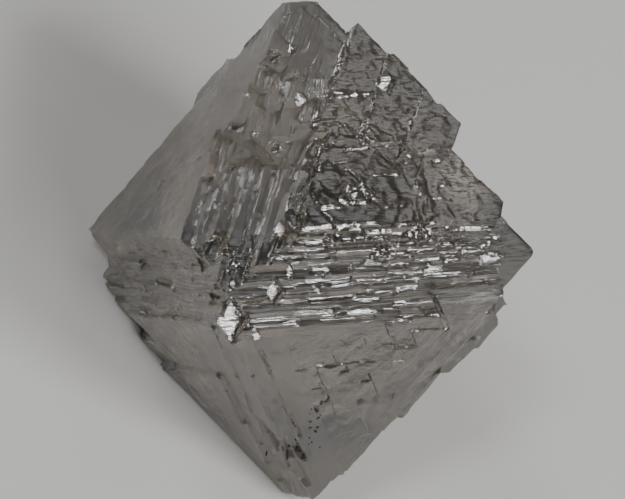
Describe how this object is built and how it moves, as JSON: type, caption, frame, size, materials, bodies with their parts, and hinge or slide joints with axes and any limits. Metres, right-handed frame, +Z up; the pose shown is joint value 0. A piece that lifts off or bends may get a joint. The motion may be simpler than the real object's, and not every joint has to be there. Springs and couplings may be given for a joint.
{
  "type": "rough octahedral diamond crystal",
  "caption": "Uncut octahedral diamond crystal with stepped growth layers, blunt tips and shallow triangular pits, lying on one flat face.",
  "frame": {"origin": "bottom centre of the bounding box, on the surface that the crystal lies on", "axes": "+Z up, square to the resting face; the belt of steps and the large upper front right face look toward -Y and up"},
  "size_m": [0.008, 0.0078, 0.0061],
  "materials": {
    "rough_diamond": "see-through, faintly smoky; satin growth faces with bright step edges"
  },
  "bodies": {
    "root": {"diamond_crystal": "rough_diamond"}
  },
  "joints": []
}
